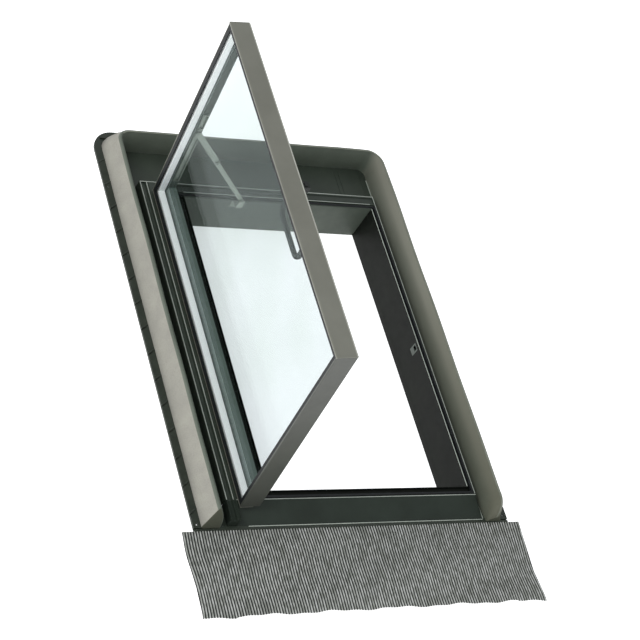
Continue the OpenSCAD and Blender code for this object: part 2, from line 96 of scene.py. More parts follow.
def card_floor():
    mat, tree, out = new_material("white_card")
    place_in = add_node(tree, "ShaderNodeTexCoord")
    fibre = add_node(tree, "ShaderNodeTexNoise", {"Vector": place_in.outputs["Object"]}, Scale=180.0)
    tone = add_node(tree, "ShaderNodeValToRGB", {"Fac": fibre.outputs["Fac"]})
    tone.color_ramp.elements[0].color = paint("#f6f6f6")
    tone.color_ramp.elements[1].color = paint("#ffffff")
    matt = add_node(tree, "ShaderNodeBsdfDiffuse", {"Color": tone.outputs["Color"]})
    glow = add_node(tree, "ShaderNodeEmission", {"Color": tone.outputs["Color"]}, Strength=0.9)
    both = add_node(tree, "ShaderNodeAddShader")
    tree.links.new(matt.outputs[0], both.inputs[0])
    tree.links.new(glow.outputs[0], both.inputs[1])
    tree.links.new(both.outputs[0], out.inputs["Surface"])
    t = np.linspace(-9.0, 9.0, 7)
    gx, gy = np.meshgrid(t, t, indexing="ij")
    pts = np.stack([gx.ravel(), gy.ravel(), np.full(gx.size, -0.0735)], 1)
    i = np.arange(6)[:, None] * 7 + np.arange(6)[None, :]
    quads = np.stack([i, i + 7, i + 8, i + 1], -1).reshape(-1, 4)
    mesh = bpy.data.meshes.new("card_floor")
    mesh.from_pydata(pts.tolist(), [], quads.tolist())
    mesh.materials.append(mat)
    obj = bpy.data.objects.new("card_floor", mesh)
    bpy.context.collection.objects.link(obj)


card_floor()
sky = bpy.data.worlds.new("diffusers")
sky.use_nodes = True
sky.node_tree.nodes["Background"].inputs["Color"].default_value = (0.94, 0.97, 1.0, 1.0)
sky.node_tree.nodes["Background"].inputs["Strength"].default_value = 0.62
bpy.context.scene.world = sky


def soft_lamp(name, spot, target, size, watts):
    lamp = bpy.data.lights.new(name, "AREA")
    lamp.shape, lamp.size, lamp.energy = "DISK", size, watts
    obj = bpy.data.objects.new(name, lamp)
    bpy.context.collection.objects.link(obj)
    turn = (Vector(target) - Vector(spot)).to_track_quat("-Z", "Y")
    obj.matrix_world = Matrix.Translation(spot) @ turn.to_matrix().to_4x4()
    obj.visible_glossy = False


soft_lamp("key_diffuser", (-3.2, -0.5, 3.3), (0, 0, 0.1), 1.6, 78)
soft_lamp("front_diffuser", (-0.6, -3.6, 2.2), (0, 0, 0.1), 1.8, 6)


# ---- Lining and rim ----
# Four lacquered aluminium boards line the roof opening, mitred at the corners. Each is a folded
# profile: an inner and an outer lip stand at the top with a seal groove between them.
def skin(rings):
    """Joins rings of points, each k long, into a closed solid: quads between rings and a cap at each end."""
    m, k = rings.shape[:2]
    i = np.arange(m - 1)[:, None] * k
    j = np.arange(k)[None, :]
    quads = np.stack([i + j, i + (j + 1) % k, i + k + (j + 1) % k, i + k + j], -1).reshape(-1, 4)
    return rings.reshape(-1, 3), quads.tolist() + [list(range(k))[::-1], list(range((m - 1) * k, m * k))]


def join(*solids):
    """Puts several solids into one list of points and one list of faces."""
    points, faces, base = [], [], 0
    for p, f in solids:
        points.append(p)
        faces += [[v + base for v in face] for face in f]
        base += len(p)
    return np.concatenate(points), faces


def piece(name, solid, finish, body, slot, stands_for=(), edge=0.5, steps=2, sharp=32):
    """Makes an object from points in millimetres, with its normals outward and its edges rounded."""
    points, faces = solid
    mesh = bpy.data.meshes.new(name)
    mesh.from_pydata((np.asarray(points) / 1000.0).tolist(), [], faces)
    work = bmesh.new()
    work.from_mesh(mesh)
    bmesh.ops.recalc_face_normals(work, faces=work.faces)
    work.to_mesh(mesh)
    work.free()
    mesh.materials.append(finish)
    obj = bpy.data.objects.new(name, mesh)
    bpy.context.collection.objects.link(obj)
    mesh.shade_smooth()
    if edge:
        bevel = obj.modifiers.new("edge", "BEVEL")
        bevel.width, bevel.segments = edge / 1000.0, steps
        bevel.limit_method, bevel.angle_limit = "ANGLE", math.radians(sharp)
        bevel.use_clamp_overlap = True
        weighted = obj.modifiers.new("flats", "WEIGHTED_NORMAL")
        weighted.keep_sharp = True
    else:
        mesh.set_sharp_from_angle(angle=math.radians(sharp))
    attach(obj, body)
    if stands_for:
        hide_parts(*stands_for)
    return obj


def lacquer(name, base, low, rough, cloud_mm=60.0, peel_um=14.0, ior=1.45):
    """Stoved lacquer on sheet metal: an even colour that clouds a little over a hand's width,
    and a faint orange peel of about a millimetre that breaks up its soft gloss."""
    mat, tree, out = new_material(name)
    where = add_node(tree, "ShaderNodeTexCoord")
    cloud = add_node(tree, "ShaderNodeTexNoise", {"Vector": where.outputs["Object"]},
                     Scale=1000.0 / cloud_mm, Detail=4.0, Roughness=0.6)
    tone = add_node(tree, "ShaderNodeValToRGB", {"Fac": cloud.outputs["Fac"]})
    tone.color_ramp.elements[0].position, tone.color_ramp.elements[0].color = 0.3, paint(low)
    tone.color_ramp.elements[1].position, tone.color_ramp.elements[1].color = 0.7, paint(base)
    smear = noise(tree, where, 17.0, 3.0)
    gloss = add_node(tree, "ShaderNodeMapRange", {"Value": smear.outputs["Fac"]})
    gloss.inputs["To Min"].default_value = rough - 0.06
    gloss.inputs["To Max"].default_value = rough + 0.08
    peel = noise(tree, where, 1.3, 2.0)
    bump = add_node(tree, "ShaderNodeBump", {"Height": peel.outputs["Fac"]},
                    Strength=0.5, Distance=peel_um * 1e-6)
    shader = add_node(tree, "ShaderNodeBsdfPrincipled", {"Base Color": tone.outputs["Color"],
                      "Roughness": gloss.outputs["Result"], "Normal": bump.outputs["Normal"]})
    shader.inputs["IOR"].default_value = ior
    tree.links.new(shader.outputs["BSDF"], out.inputs["Surface"])
    return mat


# The lining boards carry one lacquer in two copies: the jambs and the sill get a copy darkened as painted
# shade, and the head board a paler copy as painted light.
lining_lacquer_painted_shade = lacquer("stoved_lacquer_lining_painted_shade", "#171a15", "#111310", 0.5, ior=1.2)
head_lining_painted_light = lacquer("stoved_lacquer_head_lining_painted_light", "#555c53", "#4a5149", 0.46, ior=1.3)
INNER = dict(left=-190.0, right=271.0, low=-341.0, high=369.5)
BOARD, SILL_BOARD, RIM, FOOT = 15.0, 19.0, 25.0, -73.0


def rim_profile(width):
    """Board section: distance out from the opening, and height; two lips with a groove between them."""
    groove = RIM - 4.5
    return np.array([(0, FOOT), (0, RIM - 1.2), (0.9, RIM), (2.4, RIM), (2.9, groove),
                     (width - 3.0, groove), (width - 2.5, RIM), (width - 0.8, RIM), (width, RIM - 1.0),
                     (width, FOOT), (width - 1.6, FOOT), (1.6, FOOT)])


def board(section, place):
    """A section carried between two mitred ends: place(a, z, end) gives each corner's position."""
    return skin(np.array([[place(a, z, end) for a, z in section] for end in (0, 1)]))


slant = SILL_BOARD / BOARD


def jamb_end(a, e):
    """Where a jamb's mitre lies up the slope, at a distance out from the opening."""
    return (INNER["high"] + a) if e else (INNER["low"] - a * slant)


right_board = board(rim_profile(BOARD), lambda a, z, e: (INNER["right"] + a, jamb_end(a, e), z))
left_board = board(rim_profile(BOARD), lambda a, z, e: (INNER["left"] - a, jamb_end(a, e), z))
head_board = board(rim_profile(BOARD), lambda a, z, e: ((INNER["right"] + a) if e else (INNER["left"] - a),
                   INNER["high"] + a, z))
sill_board = board(rim_profile(SILL_BOARD), lambda a, z, e: (
                   (INNER["right"] + a / slant) if e else (INNER["left"] - a / slant), INNER["low"] - a, z))


def cut(solid, lo, hi):
    """Cuts a box out of a solid and gives back its points and faces."""
    made = []
    x, y, z = zip(lo, hi)
    ring = [[(x[i], y[k], z[j]) for i, j in ((0, 0), (1, 0), (1, 1), (0, 1))] for k in (0, 1)]
    for points, faces in (solid, skin(np.array(ring))):
        mesh = bpy.data.meshes.new("blank")
        mesh.from_pydata(np.asarray(points).tolist(), [], faces)
        work = bmesh.new()
        work.from_mesh(mesh)
        bmesh.ops.recalc_face_normals(work, faces=work.faces)
        work.to_mesh(mesh)
        work.free()
        made.append(bpy.data.objects.new("blank", mesh))
        bpy.context.collection.objects.link(made[-1])
    tool = made[0].modifiers.new("pocket", "BOOLEAN")
    tool.operation, tool.object, tool.solver = "DIFFERENCE", made[1], "EXACT"
    bpy.context.view_layer.update()
    result = made[0].evaluated_get(bpy.context.evaluated_depsgraph_get()).to_mesh()
    points = np.array([v.co[:] for v in result.vertices])
    faces = [list(f.vertices) for f in result.polygons]
    for obj in made:
        mesh = obj.data
        bpy.data.objects.remove(obj)
        bpy.data.meshes.remove(mesh)
    return points, faces


right_board = cut(right_board, (270.0, -2.0, -6.0), (281.0, 16.0, 18.0))
piece("lining_lock_side", right_board, lining_lacquer_painted_shade, "frame", "lining", ["jamb_lock_side"], 0.45)
piece("lining_hinge_side", left_board, lining_lacquer_painted_shade, "frame", "lining", ["jamb_hinge_side"], 0.45)
piece("lining_head", head_board, head_lining_painted_light, "frame", "lining", ["head_board"], 0.45)
piece("lining_sill", sill_board, lining_lacquer_painted_shade, "frame", "lining", ["sill_board"], 0.45)

# ---- Rim trims ----
# Narrow pale beads run along the lips of the rim; their pale colour is a painted highlight on the lips'
# edges.
bead_painted_highlight = lacquer("painted_highlight_bead", "#c6ccc2", "#aab1a7", 0.32)


def bar(lo, hi):
    """A straight bar between two corners, as a solid."""
    x0, y0, z0 = lo
    x1, y1, z1 = hi
    ring = [(x0, z0), (x1, z0), (x1, z1), (x0, z1)]
    return skin(np.array([[(x, y, z) for x, z in ring] for y in (y0, y1)]))


bead_plan = [(271.2, -341, 272.9, 369.5), (283.9, -358, 285.6, 404), (-286.0, -360, -284.4, 404),
             (-271.6, -360, -270.2, 404), (-190, 381.2, 271, 382.8), (-286, 402.9, 286, 404.5)]
beads = [bar((x0, y0, RIM - 0.2), (x1, y1, RIM + 0.7)) for x0, y0, x1, y1 in bead_plan]
piece("rim_beads", join(*beads), bead_painted_highlight, "frame", "frame_dark", (), 0.3)

# ---- Shelves ----
# Folded aluminium trays outside the boards carry the hinges on one side and close the head;
# the hinge tray has a drainage channel beside its outer lip.
shelf_lacquer = lacquer("stoved_lacquer_tray", "#394038", "#2f362e", 0.4)
channel = [(-286, 24.2), (-285.2, RIM), (-283.8, RIM), (-283.3, 20), (-273.6, 20), (-273.0, RIM),
           (-269.9, RIM), (-269.3, 23.2)]
tray = np.array([(-286, 5)] + channel + [(-266.6, 23.2), (-266.0, RIM - 0.1), (-205, RIM - 0.1), (-205, 5)])
hinge_tray = skin(np.array([[(x, y, z) for x, z in tray] for y in (-360, 404.5)]))
tail = np.array([(-286, 0.1)] + channel + [(-265.4, 23.2), (-264.6, RIM), (-264, 24.4), (-264, 0.1)])
hinge_tail = skin(np.array([[(x, y, z) for x, z in tail] for y in (-404, -360)]))
piece("shelf_hinge_side", hinge_tray, shelf_lacquer, "frame", "frame_dark", ["hinge_shelf"], 0.4)
top_tray = np.array([(384.5, 5), (384.5, 22.5), (399.5, 22.5), (400.2, RIM), (403.9, RIM), (404.5, 24.2),
                     (404.5, 5)])
piece("shelf_head", skin(np.array([[(x, y, z) for y, z in top_tray] for x in (-205, 286)])), shelf_lacquer,
      "frame", "frame_dark", ["head_shelf"], 0.4)

# ---- Rim seal ----
# An extruded black rubber bulb sits in the groove all round, mitred at its corners.
def rubber(name, base, low):
    """Extruded EPDM: nearly black, matt, with a bloom that greys it in patches a few millimetres wide."""
    mat, tree, out = new_material(name)
    where = add_node(tree, "ShaderNodeTexCoord")
    bloom = noise(tree, where, 6.0, 5.0)
    tone = add_node(tree, "ShaderNodeValToRGB", {"Fac": bloom.outputs["Fac"]})
    tone.color_ramp.elements[0].color = paint(low)
    tone.color_ramp.elements[1].color = paint(base)
    bump = add_node(tree, "ShaderNodeBump", {"Height": bloom.outputs["Fac"]}, Strength=0.4, Distance=0.0001)
    shader = add_node(tree, "ShaderNodeBsdfPrincipled", {"Base Color": tone.outputs["Color"],
                      "Normal": bump.outputs["Normal"]}, Roughness=0.72)
    shader.inputs["IOR"].default_value = 1.5
    tree.links.new(shader.outputs["BSDF"], out.inputs["Surface"])
    return mat


seal_rubber = rubber("epdm_rubber", "#1d2021", "#131516")


def frame_ring(section, x0, x1, y0, y1):
    """A section of (distance in, height) carried round a rectangle, mitred at its corners."""
    a = section[:, 0]
    z = section[:, 1]
    rings = [np.stack([x0 + a, y0 + a, z], 1), np.stack([x1 - a, y0 + a, z], 1),
             np.stack([x1 - a, y1 - a, z], 1), np.stack([x0 + a, y1 - a, z], 1)]
    k = len(section)
    pts = np.concatenate(rings)
    faces = [[i * k + j, i * k + (j + 1) % k, ((i + 1) % 4) * k + (j + 1) % k, ((i + 1) % 4) * k + j]
             for i in range(4) for j in range(k)]
    return pts, faces


arc = np.linspace(0, math.pi, 9)
bulb = np.stack([2.0 - 2.0 * np.cos(arc), 27.0 + 2.0 * np.sin(arc)], 1)
bulb = np.concatenate([[(0.0, 21.0)], bulb, [(4.0, 21.0)]])
piece("rim_seal_bulb", frame_ring(bulb, -208.0, 281.0, -358.0, 375.5), seal_rubber, "frame", "seal",
      ["rim_seal"], 0)

# ---- Flashing tray ----
# Lacquered aluminium sheet is folded round the frame: flat gutters at the sides and the head,
# and a sill sheet that slopes down to the apron with hipped ends.
def coat_nodes(finish, *names):
    """Gives pieces of the CAD frame, used as they are, a finish."""
    for name in names:
        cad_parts[name].data.materials.clear()
        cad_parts[name].data.materials.append(finish)


flashing_lacquer = lacquer("stoved_lacquer_flashing", "#3b4339", "#30372f", 0.42, 90.0)
# The sill sheet and the hinge tray's tail get a darker copy of the flashing lacquer, as painted shade.
sill_slope_painted_shade = lacquer("stoved_lacquer_sill", "#323a33", "#293029", 0.42, 90.0, ior=1.3)
coat_nodes(flashing_lacquer, "flashing_left", "flashing_right", "flashing_head")


def sill_slope():
    """Plan grid; height is the lower of a slope down the roof and a slope out to each end."""
    x = np.concatenate([[-264, -263], np.linspace(-258, 280, 28), [286, 289.5, 293, 297, 301]])
    y = np.linspace(-360.0, -404.0, 14)
    gx, gy = np.meshgrid(x, y, indexing="ij")
    down = 24.6 - (-360.0 - gy) * (23.4 / 44.0)
    ends = 24.6 - np.clip(np.abs(gx) - 286.0, 0, None) * (23.4 / 15.0)
    top = np.maximum(np.minimum(down, ends), 1.2)
    ring_top = np.stack([gx, gy, top], -1)
    ring_low = np.stack([gx, gy, top - 1.0], -1)[:, ::-1]
    return skin(np.concatenate([ring_top, ring_low], 1))


piece("shelf_hinge_tail", hinge_tail, sill_slope_painted_shade, "frame", "frame_dark", (), 0.4)
piece("sill_flashing", sill_slope(), sill_slope_painted_shade, "frame", "flashing", ["flashing_sill"], 0, sharp=20)
lip = [bar((-286, -424, 0.0), (286, -404, 1.05))]
piece("sill_flashing_lip", join(*lip), flashing_lacquer, "frame", "flashing", (), 0.25)
# Pale bars along the sill sheet's foot and top edge, and along the foot of the foam collar at each side, are
# painted highlights.
foot_beads = [bar((-240, -406.8, 0.9), (300, -405.2, 2.6)),
              bar((-264, -361.2, 24.4), (286, -359.8, RIM + 0.6)),
              bar((-302.0, -300, 0.9), (-300.6, 440, 2.2)), bar((300.6, -404, 0.9), (302.0, 470, 2.2))]
piece("sill_flashing_beads", join(*foot_beads), bead_painted_highlight, "frame", "flashing", (), 0.25)
creases = [bar((222, 404.6, 0.9), (223.2, 490, 1.9)), bar((232, 404.6, 0.9), (233.2, 490, 1.9)),
           bar((287.2, 404.6, 0.9), (288.4, 490, 1.8)), bar((-288.4, 404.6, 0.9), (-287.2, 490, 1.8))]
piece("head_flashing_folds", join(*creases), flashing_lacquer, "frame", "flashing", (), 0.3)

# ---- Edge strip ----
# The rim of the tray is folded over outside the foam and slit on the slant every 60 mm, so that
# it can be dressed to the tiles; the slits show as pale burred lines.
strip_lacquer = lacquer("stoved_lacquer_strip", "#32382f", "#282e26", 0.5, 25.0, 22.0)
coat_nodes(strip_lacquer, "edge_strip_left", "edge_strip_right", "edge_strip_head")


def strip_folds():
    """Fins of folded sheet along the strip, each a low wedge set at 32 degrees to it."""
    solids = []
    for y in np.arange(-374.0, 500.0, 60.0):
        for side in (-1, 1):
            a = np.array([342.5, 346.0, 350.0, 354.0, 358.6])
            yy = y + 6.5 - (a - 342.5) * 0.62
            low = np.stack([side * a, yy - 1.6, np.full(5, 4.8)], 1)
            top = np.stack([side * a, yy, np.full(5, 6.6)], 1)
            far = np.stack([side * a, yy + 4.5, np.full(5, 4.8)], 1)
            solids.append(skin(np.stack([low, top, far], 1)))
    return join(*solids)


piece("edge_strip_folds", strip_folds(), strip_lacquer, "frame", "flashing", (), 0.2)

# ---- Foam collar ----
# A wedge of light grey closed-cell foam stands on the tray round three sides. It is cut square at
# the hinged-side corner and bent round the other, and it is glued to the back of a formed sheet.
def foam_finish():
    """Closed-cell polyethylene foam: chalky grey, mottled over a few centimetres, cells of under 2 mm.
    The cut lower end is sealed with an olive coat, below the plane y = -407 mm + 0.193 z."""
    mat, tree, out = new_material("closed_cell_foam")
    where = add_node(tree, "ShaderNodeTexCoord")
    mottle = noise(tree, where, 34.0, 6.0)
    tone = add_node(tree, "ShaderNodeValToRGB", {"Fac": mottle.outputs["Fac"]})
    tone.color_ramp.elements[0].position, tone.color_ramp.elements[0].color = 0.3, paint("#9a9890")
    tone.color_ramp.elements[1].position, tone.color_ramp.elements[1].color = 0.7, paint("#a8a69c")
    cells = add_node(tree, "ShaderNodeTexVoronoi", {"Vector": where.outputs["Object"]}, Scale=1000.0 / 1.7)
    speck = add_node(tree, "ShaderNodeMix")
    speck.data_type = "RGBA"
    tree.links.new(tone.outputs["Color"], speck.inputs[6])
    speck.inputs[7].default_value = paint("#7f7d74")
    weight = add_node(tree, "ShaderNodeMath", operation="MULTIPLY")
    tree.links.new(cells.outputs["Distance"], weight.inputs[0])
    weight.inputs[1].default_value = 0.5
    tree.links.new(weight.outputs[0], speck.inputs[0])
    split = add_node(tree, "ShaderNodeSeparateXYZ", {"Vector": where.outputs["Object"]})
    plane = add_node(tree, "ShaderNodeMath", operation="MULTIPLY_ADD")
    tree.links.new(split.outputs["Z"], plane.inputs[0])
    plane.inputs[1].default_value = -0.193
    tree.links.new(split.outputs["Y"], plane.inputs[2])
    sealed = add_node(tree, "ShaderNodeMapRange", {"Value": plane.outputs[0]})
    sealed.inputs["From Min"].default_value, sealed.inputs["From Max"].default_value = -0.4072, -0.4066
    sealed.inputs["To Min"].default_value, sealed.inputs["To Max"].default_value = 1.0, 0.0
    coat = add_node(tree, "ShaderNodeMix")
    coat.data_type = "RGBA"
    tree.links.new(sealed.outputs["Result"], coat.inputs[0])
    tree.links.new(speck.outputs[2], coat.inputs[6])
    coat.inputs[7].default_value = paint("#55574a")
    bump = add_node(tree, "ShaderNodeBump", {"Height": cells.outputs["Distance"]},
                    Strength=0.6, Distance=0.0003)
    shader = add_node(tree, "ShaderNodeBsdfPrincipled", {"Base Color": coat.outputs[2],
                      "Normal": bump.outputs["Normal"]}, Roughness=0.94)
    shader.inputs["IOR"].default_value = 1.3
    tree.links.new(shader.outputs["BSDF"], out.inputs["Surface"])
    return mat


def collar_path():
    """Stations round the collar's foot, from the left end over the head to the right end:
    position, outward direction in plan, and how much the station belongs to the head (0 to 1)."""
    foot_x, foot_y, r_left, r_right = 302.0, 492.0, 5.0, 15.0
    stations = [(-foot_x, y, -1.0, 0.0, 0.0) for y in np.linspace(-408.0, foot_y - 60, 60)]
    stations += [(-foot_x, y, -1.0, 0.0, 0.0) for y in np.linspace(foot_y - 50, foot_y - r_left, 6)]
    for t in np.linspace(0, 1, 7)[1:-1]:
        a = math.pi - t * math.pi / 2
        stations.append((-foot_x + r_left + r_left * math.cos(a), foot_y - r_left + r_left * math.sin(a),
                         math.cos(a), math.sin(a), t))
    stations += [(x, foot_y, 0.0, 1.0, 1.0) for x in np.linspace(-foot_x + r_left, foot_x - r_right, 44)]
    for t in np.linspace(0, 1, 15)[1:-1]:
        a = math.pi / 2 - t * math.pi / 2
        stations.append((foot_x - r_right + r_right * math.cos(a), foot_y - r_right + r_right * math.sin(a),
                         math.cos(a), math.sin(a), 1 - t))
    stations += [(foot_x, y, 1.0, 0.0, 0.0) for y in np.linspace(foot_y - r_right, -366.0, 58)]
    stations += [(foot_x, y, 1.0, 0.0, 0.0) for y in np.linspace(-370.0, -411.5, 16)]
    return np.array(stations)


PATH = collar_path()


def crest_height(x, y):
    """Height of the crest: 58 mm, rounded down at the lower end on the right."""
    right = np.where(x > 0, np.clip((-y - 372.0) / 41.0, 0, 1), 0)
    return 1.0 + 57.0 * np.sqrt(np.clip(1 - right ** 2.6, 0, 1))


def collar_rings(section):
    """Carries a section of (outward, height 0 to 1) along the path. The foot moves out by up to
    9 mm at the head, where the sheet stands steeper, heights follow the crest, and the crest is
    cut back by 11 mm at the lower end on the left."""
    x, y, nx, ny, head = PATH.T
    out, high = section[:, 0][None, :], section[:, 1][None, :]
    shift = head[:, None] * (9.0 * (1 - high ** 1.4))
    sway = 0.6 * np.sin(y / 47.0)[:, None] * high + 0.4 * np.sin(x / 31.0 + 1)[:, None] * high
    s = out + shift + sway + 3.0 * head[:, None] * (out > 30)
    z = 1.0 + (crest_height(x, y)[:, None] - 1.0) * high + 0.35 * np.sin(y / 63.0 + x / 40.0)[:, None] * high
    lean_in = np.where((x > 0) & (y < -372), (-y - 372.0) / 41.0, 0)[:, None]
    s = s + 6.0 * lean_in * (1 - out / 45.0)
    left_cut = np.where((x < -300) & (y < -407.9), 1.0, 0.0)[:, None] * high * 11.0
    return np.stack([x[:, None] + nx[:, None] * s, y[:, None] + ny[:, None] * s + left_cut, z], -1)


high = np.linspace(0, 1, 12)
inner = np.stack([17.0 * high ** 2.2 + 1.5, high * 0.985], 1)
slope = np.stack([np.linspace(22.0, 40.6, 9), np.linspace(0.985, 0.045, 9)], 1)
foam_section = np.concatenate([inner, [(19.3, 1.0), (20.6, 1.0)], slope, [(41.0, 0.0)]])
foam = piece("foam_collar", skin(collar_rings(foam_section)), foam_finish(), "frame", "foam",
             ["foam_left", "foam_head", "foam_right"], 0, sharp=50)

# ---- Collar sheet ----
# Olive lacquered sheet is formed into the foam's inner side and rolled over its crest.
def paint_light_on_lock_side(mat):
    """Paints light on the sheet beside the lock jamb: a warmer, paler tone as painted light, which starts
    over x = 296 to 312 mm and grows paler up the slope."""
    tree = mat.node_tree
    shader = tree.nodes["Principled BSDF"]
    tone = shader.inputs["Base Color"].links[0].from_socket
    where = add_node(tree, "ShaderNodeTexCoord")
    split = add_node(tree, "ShaderNodeSeparateXYZ", {"Vector": where.outputs["Object"]})
    over = add_node(tree, "ShaderNodeMapRange", {"Value": split.outputs["X"]})
    over.inputs["From Min"].default_value, over.inputs["From Max"].default_value = 0.296, 0.312
    along = add_node(tree, "ShaderNodeMapRange", {"Value": split.outputs["Y"]})
    along.inputs["From Min"].default_value, along.inputs["From Max"].default_value = -0.40, 0.15
    warm = add_node(tree, "ShaderNodeValToRGB", {"Fac": along.outputs["Result"]})
    warm.color_ramp.elements[0].color = paint("#6b6b5c")
    warm.color_ramp.elements[1].color = paint("#8d8c7f")
    blend = add_node(tree, "ShaderNodeMix")
    blend.data_type = "RGBA"
    tree.links.new(over.outputs["Result"], blend.inputs[0])
    tree.links.new(tone, blend.inputs[6])
    tree.links.new(warm.outputs["Color"], blend.inputs[7])
    tree.links.new(blend.outputs[2], shader.inputs["Base Color"])


# The crest hem gets a paler copy of the olive lacquer, a painted highlight along the rolled crest.
crest_painted_highlight = lacquer("stoved_lacquer_olive_crest_painted_highlight", "#868a7c", "#7a7e70", 0.46, 70.0, 20.0)
sheet_lacquer = lacquer("stoved_lacquer_olive", "#636a5f", "#585f54", 0.5, 70.0, 20.0)
roll = np.array([(17.6, 1.0), (19.0, 1.02), (20.8, 1.017), (22.6, 0.995), (24.2, 0.93), (23.3, 0.925),
                 (21.8, 0.975), (20.4, 0.998), (18.9, 1.0)])
face_in = np.stack([17.0 * high ** 2.2, high * 0.985], 1)
face_out = np.stack([17.0 * high[::-1] ** 2.2 + 1.3, high[::-1] * 0.985], 1)
# Painted light: the lock side of the olive sheet is made paler.
paint_light_on_lock_side(sheet_lacquer)
piece("collar_sheet_formed", skin(collar_rings(np.concatenate([face_in, roll, face_out]))), sheet_lacquer,
      "frame", "collar", ["collar_sheet"], 0, sharp=50)
round_hem = np.linspace(0, 2 * math.pi, 10, endpoint=False)
hem = np.stack([18.6 + 1.7 * np.cos(round_hem), 1.006 + 0.021 * np.sin(round_hem)], 1)
HEAD_START = 68                    # the hem begins a little past the hinged-side corner
piece("collar_crest_hem", skin(collar_rings(hem)[HEAD_START:]), crest_painted_highlight, "frame", "collar", (), 0,
      sharp=60)

# ---- Apron ----
# Thin soft sheet is pleated every 6 mm so that it can be dressed over the tiles below the window.
# Its pleats run down the slope, and its free edges wander by a few millimetres.
def apron_finish():
    """Soft lacquered aluminium: mid grey and scuffed, with painted shade in the hollows between the pleats
    and a painted highlight on their backs.
    """
    mat, tree, out = new_material("pleated_soft_aluminium")
    where = add_node(tree, "ShaderNodeTexCoord")
    cloud = noise(tree, where, 14.0, 5.0)
    split = add_node(tree, "ShaderNodeSeparateXYZ", {"Vector": where.outputs["Object"]})
    stretch = add_node(tree, "ShaderNodeMapping", {"Vector": where.outputs["Object"]})
    stretch.inputs["Scale"].default_value = (1.0, 0.35, 1.0)
    scuff = add_node(tree, "ShaderNodeTexNoise", {"Vector": stretch.outputs["Vector"]},
                     Scale=1000.0 / 5.0, Detail=3.0)
    patch = add_node(tree, "ShaderNodeValToRGB", {"Fac": scuff.outputs["Fac"]})
    patch.color_ramp.elements[0].position, patch.color_ramp.elements[0].color = 0.4, paint("#c4c6c1")
    patch.color_ramp.elements[1].position, patch.color_ramp.elements[1].color = 0.6, paint("#ffffff")
    # Painted shade and highlight: by height, the colour runs from near black between the pleats to near white
    # on their backs.
    back = add_node(tree, "ShaderNodeMapRange", {"Value": split.outputs["Z"]})
    back.inputs["From Min"].default_value, back.inputs["From Max"].default_value = 0.0016, 0.0040
    pleat_shade_and_highlight = add_node(tree, "ShaderNodeValToRGB", {"Fac": back.outputs["Result"]})
    pleat_shade_and_highlight.color_ramp.elements[0].position, pleat_shade_and_highlight.color_ramp.elements[0].color = 0.12, paint("#141513")
    pleat_shade_and_highlight.color_ramp.elements[1].position, pleat_shade_and_highlight.color_ramp.elements[1].color = 0.8, paint("#eceee9")
    shade = add_node(tree, "ShaderNodeValToRGB", {"Fac": cloud.outputs["Fac"]})
    shade.color_ramp.elements[0].position, shade.color_ramp.elements[0].color = 0.35, paint("#f0f0ee")
    shade.color_ramp.elements[1].position, shade.color_ramp.elements[1].color = 0.65, paint("#ffffff")
    tint = add_node(tree, "ShaderNodeMix")
    tint.data_type, tint.blend_type = "RGBA", "MULTIPLY"
    tint.inputs[0].default_value = 1.0
    tree.links.new(pleat_shade_and_highlight.outputs["Color"], tint.inputs[6])
    tree.links.new(shade.outputs["Color"], tint.inputs[7])
    scuffed = add_node(tree, "ShaderNodeMix")
    scuffed.data_type, scuffed.blend_type = "RGBA", "MULTIPLY"
    scuffed.inputs[0].default_value = 1.0
    tree.links.new(tint.outputs[2], scuffed.inputs[6])
    tree.links.new(patch.outputs["Color"], scuffed.inputs[7])
    bump = add_node(tree, "ShaderNodeBump", {"Height": cloud.outputs["Fac"]}, Strength=0.3, Distance=0.0004)
    shader = add_node(tree, "ShaderNodeBsdfPrincipled", {"Base Color": scuffed.outputs[2],
                      "Normal": bump.outputs["Normal"]}, Roughness=0.5)
    shader.inputs["Metallic"].default_value = 0.15
    tree.links.new(shader.outputs["BSDF"], out.inputs["Surface"])
    return mat


def apron_sheet():
    """Height is 1 mm plus a rounded pleat wave of 6 mm, plus a slow ripple; the free edges wander in plan."""
    pleats, per, rows = 129, 10, 22
    u = np.linspace(-1, 1, pleats * per + 1)[:, None]
    v = np.linspace(0, 1, rows)[None, :]
    wander = 2.4 * np.sin(7.3 * v + 1.1 * np.sign(u)) - 3.2 * np.sin(3.1 * v)
    x = 386.0 * u + wander * np.abs(u) ** 6 * np.sign(u)
    x = x + 0.9 * np.sin(11 * v + 4 * u) * (1 - v * 0.3)
    hem = 1.6 * np.sin(17 * u) + 1.1 * np.sin(41 * u + 1.3) - 1.5 * (np.abs(u) > 0.82)
    y = -414.0 - 178.0 * v + v * hem
    phase = (u + 1) / 2 * pleats * 2 * math.pi
    wave = 0.5 - 0.5 * np.cos(phase)
    ripple = 0.07 * (1 + np.sin(9 * v + 5 * u)) * v
    z = 1.0 + 1.7 * wave ** 0.8 + ripple
    top = np.stack(np.broadcast_arrays(x, y, z + 0.5), -1)
    low = np.stack(np.broadcast_arrays(x, y, z), -1)[:, ::-1]
    return skin(np.concatenate([top, low], 1))


piece("apron_pleated", apron_sheet(), apron_finish(), "frame", "apron", ["apron"], 0, sharp=60)
coat_nodes(strip_lacquer, "apron_seam")


# ---- Sash rails ----
# Four hollow aluminium rails hold the glass unit on a ledge; they are drawn here as they lie when
# the window is shut, and then turned up about the hinge pins.
def opened(points, angle=95.0, x=-226.5, z=33.8):
    """Turns points about the hinge line: from +X towards +Z by the opening angle."""
    p = np.asarray(points, dtype=float).copy()
    u, v = p[:, 0] - x, p[:, 2] - z
    c, s = math.cos(math.radians(angle)), math.sin(math.radians(angle))
    p[:, 0], p[:, 2] = x + u * c - v * s, z + u * s + v * c
    return p


def sash_piece(name, solid, *rest, **more):
    return piece(name, (opened(solid[0]), solid[1]), *rest, **more)


